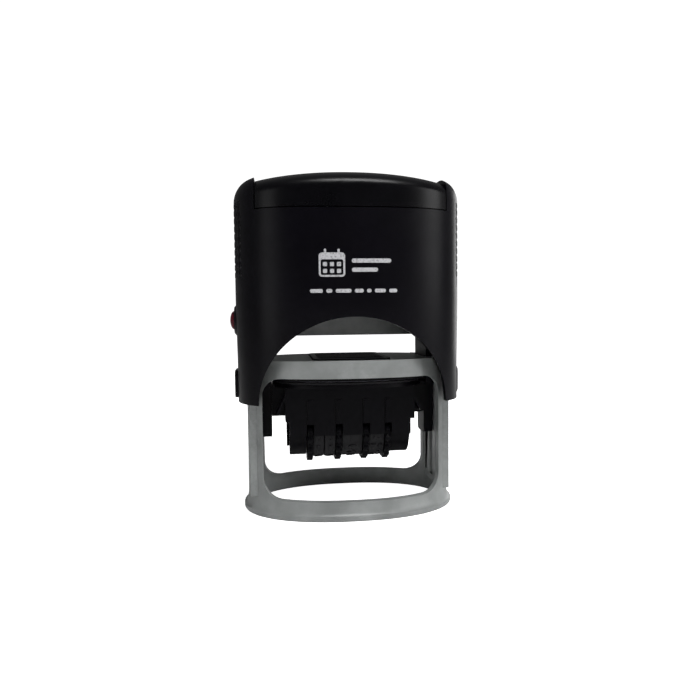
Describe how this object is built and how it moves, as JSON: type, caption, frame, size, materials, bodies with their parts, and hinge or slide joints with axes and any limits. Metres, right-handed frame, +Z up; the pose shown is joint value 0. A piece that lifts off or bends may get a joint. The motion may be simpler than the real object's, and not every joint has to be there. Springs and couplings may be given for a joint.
{
  "type": "rotary date stamp",
  "caption": "Self-inking oval dater: sprung casing over an open base frame, with a platen that flips from the ink pad to the paper and date bands set by toothed wheels.",
  "frame": {"origin": "on the table, at the centre of the base flange", "axes": "+Z up, X across the width, -Y towards the front with the arch; the red button is at -X"},
  "size_m": [0.069, 0.044, 0.0968],
  "materials": {
    "satin_black": "satin black moulded plastic",
    "gloss_black": "polished black plastic",
    "grey_plastic": "satin mid-grey moulded plastic",
    "black_plastic": "semi-gloss black plastic",
    "red_plastic": "dark red plastic",
    "band_rubber": "moulded rubber",
    "print_rubber": "engraved rubber",
    "ink_felt": "felt soaked with black ink",
    "spring_steel": "bright steel",
    "card": "pale card"
  },
  "bodies": {
    "frame": {"base_frame": "grey_plastic", "return_spring_left": "spring_steel", "return_spring_right": "spring_steel"},
    "pad": {"ink_cartridge": "black_plastic", "ink_felt": "ink_felt"},
    "casing": {"casing": "satin_black", "yoke": "black_plastic", "index_card": "card", "side_clip_left": "satin_black", "side_clip_right": "satin_black"},
    "window": {"index_window": "gloss_black"},
    "lock": {"lock_button": "red_plastic"},
    "release": {"release_button": "satin_black"},
    "platen": {"mechanism_housing": "black_plastic", "die_plate": "black_plastic", "text_rubber": "print_rubber", "axle_pin_left": "spring_steel", "axle_pin_right": "spring_steel", "setting_shaft": "spring_steel", "shaft_cap_left": "black_plastic", "shaft_cap_right": "black_plastic", "band_nose_bar": "black_plastic", "day_tens_band": "band_rubber", "day_units_band": "band_rubber", "month_band": "band_rubber", "year_band": "band_rubber"},
    "day_tens": {"day_tens_wheel": "black_plastic"},
    "day_units": {"day_units_wheel": "black_plastic"},
    "month": {"month_wheel": "black_plastic"},
    "year": {"year_wheel": "black_plastic"}
  },
  "joints": [
    {"name": "press", "type": "slide", "parent": "frame", "child": "casing", "axis": [0, 0, -1], "range_m": [0, 0.02], "stiffness_N_per_m": 300, "springref_m": -0.01, "deforming": ["return_spring_left", "return_spring_right", "ink_felt"]},
    {"name": "platen_flip", "type": "hinge", "parent": "casing", "child": "platen", "pos_m": [0, 0, 0.02875], "axis": [1, 0, 0], "range_deg": [0, 180]},
    {"name": "pad_slide", "type": "slide", "parent": "frame", "child": "pad", "axis": [0, -1, 0], "range_m": [-0.036, 0]},
    {"name": "window_lift", "type": "slide", "parent": "casing", "child": "window", "axis": [0, 0, 1], "range_m": [0, 0.012]},
    {"name": "lock_push", "type": "slide", "parent": "casing", "child": "lock", "axis": [1, 0, 0], "range_m": [0, 0.0012], "stiffness_N_per_m": 200},
    {"name": "release_push", "type": "slide", "parent": "casing", "child": "release", "axis": [-1, 0, 0], "range_m": [0, 0.0012], "stiffness_N_per_m": 200},
    {"name": "day_tens_turn", "type": "hinge", "parent": "platen", "child": "day_tens", "pos_m": [0, 0, 0.0213], "axis": [1, 0, 0], "continuous": true},
    {"name": "day_units_turn", "type": "hinge", "parent": "platen", "child": "day_units", "pos_m": [0, 0, 0.0213], "axis": [1, 0, 0], "continuous": true},
    {"name": "month_turn", "type": "hinge", "parent": "platen", "child": "month", "pos_m": [0, 0, 0.0213], "axis": [1, 0, 0], "continuous": true},
    {"name": "year_turn", "type": "hinge", "parent": "platen", "child": "year", "pos_m": [0, 0, 0.0213], "axis": [1, 0, 0], "continuous": true}
  ],
  "couplings": [
    {"joint": "platen_flip", "follows": "press", "rad_per_m": 157}
  ]
}
